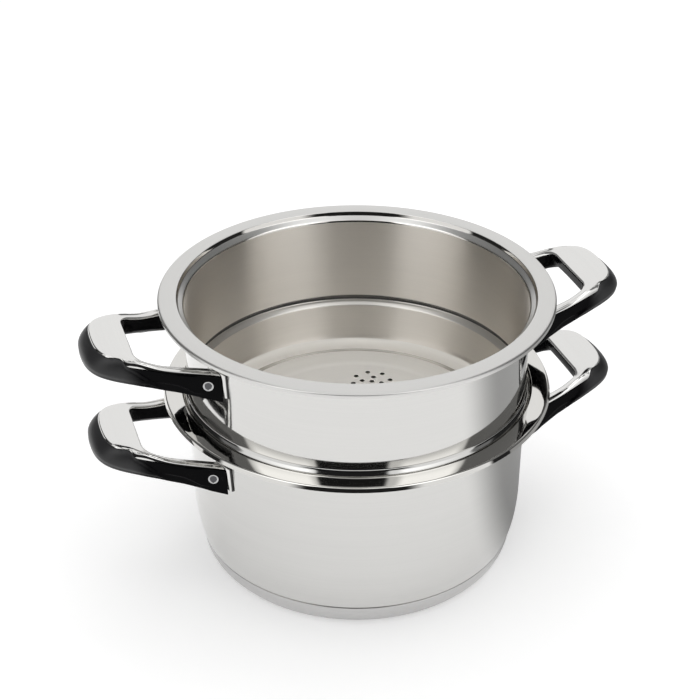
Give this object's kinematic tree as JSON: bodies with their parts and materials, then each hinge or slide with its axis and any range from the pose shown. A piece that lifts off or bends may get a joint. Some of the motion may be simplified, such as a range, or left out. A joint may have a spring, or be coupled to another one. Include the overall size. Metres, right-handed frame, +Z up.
{
  "type": "steamer pot",
  "caption": "Low steel pot with a flared rim and a heat-spreading base, holding a lift-out steamer insert with a perforated floor; black loop handles carry steel covers.",
  "frame": {"origin": "centre of the base's underside, on the surface the pot stands on", "axes": "+Z up along the axis of both vessels, +X through the right handles, -Y towards the viewer"},
  "size_m": [0.3762, 0.267, 0.1979],
  "materials": {
    "vessel_steel": "polished outside, brushed inside the insert",
    "handle_steel": "polished",
    "base_steel": "satin",
    "base_aluminium": "matt",
    "fastener_steel": "satin",
    "grip_black": "satin to glossy"
  },
  "bodies": {
    "pot": {"pot_base_cap": "base_steel", "pot_base_core": "base_aluminium", "pot_left_back_bracket": "handle_steel", "pot_left_back_disc": "fastener_steel", "pot_left_back_pin": "fastener_steel", "pot_left_cover": "handle_steel", "pot_left_front_bracket": "handle_steel", "pot_left_front_disc": "fastener_steel", "pot_left_front_pin": "fastener_steel", "pot_left_grip": "grip_black", "pot_right_back_bracket": "handle_steel", "pot_right_back_disc": "fastener_steel", "pot_right_back_pin": "fastener_steel", "pot_right_cover": "handle_steel", "pot_right_front_bracket": "handle_steel", "pot_right_front_disc": "fastener_steel", "pot_right_front_pin": "fastener_steel", "pot_right_grip": "grip_black", "pot_shell": "vessel_steel"},
    "insert": {"insert_left_back_bracket": "handle_steel", "insert_left_back_disc": "fastener_steel", "insert_left_back_pin": "fastener_steel", "insert_left_cover": "handle_steel", "insert_left_front_bracket": "handle_steel", "insert_left_front_disc": "fastener_steel", "insert_left_front_pin": "fastener_steel", "insert_left_grip": "grip_black", "insert_right_back_bracket": "handle_steel", "insert_right_back_disc": "fastener_steel", "insert_right_back_pin": "fastener_steel", "insert_right_cover": "handle_steel", "insert_right_front_bracket": "handle_steel", "insert_right_front_disc": "fastener_steel", "insert_right_front_pin": "fastener_steel", "insert_right_grip": "grip_black", "insert_shell": "vessel_steel"}
  },
  "joints": [
    {"name": "insert_lift", "type": "slide", "parent": "pot", "child": "insert", "axis": [0, 0, 1], "range_m": [0, 0.08]}
  ]
}
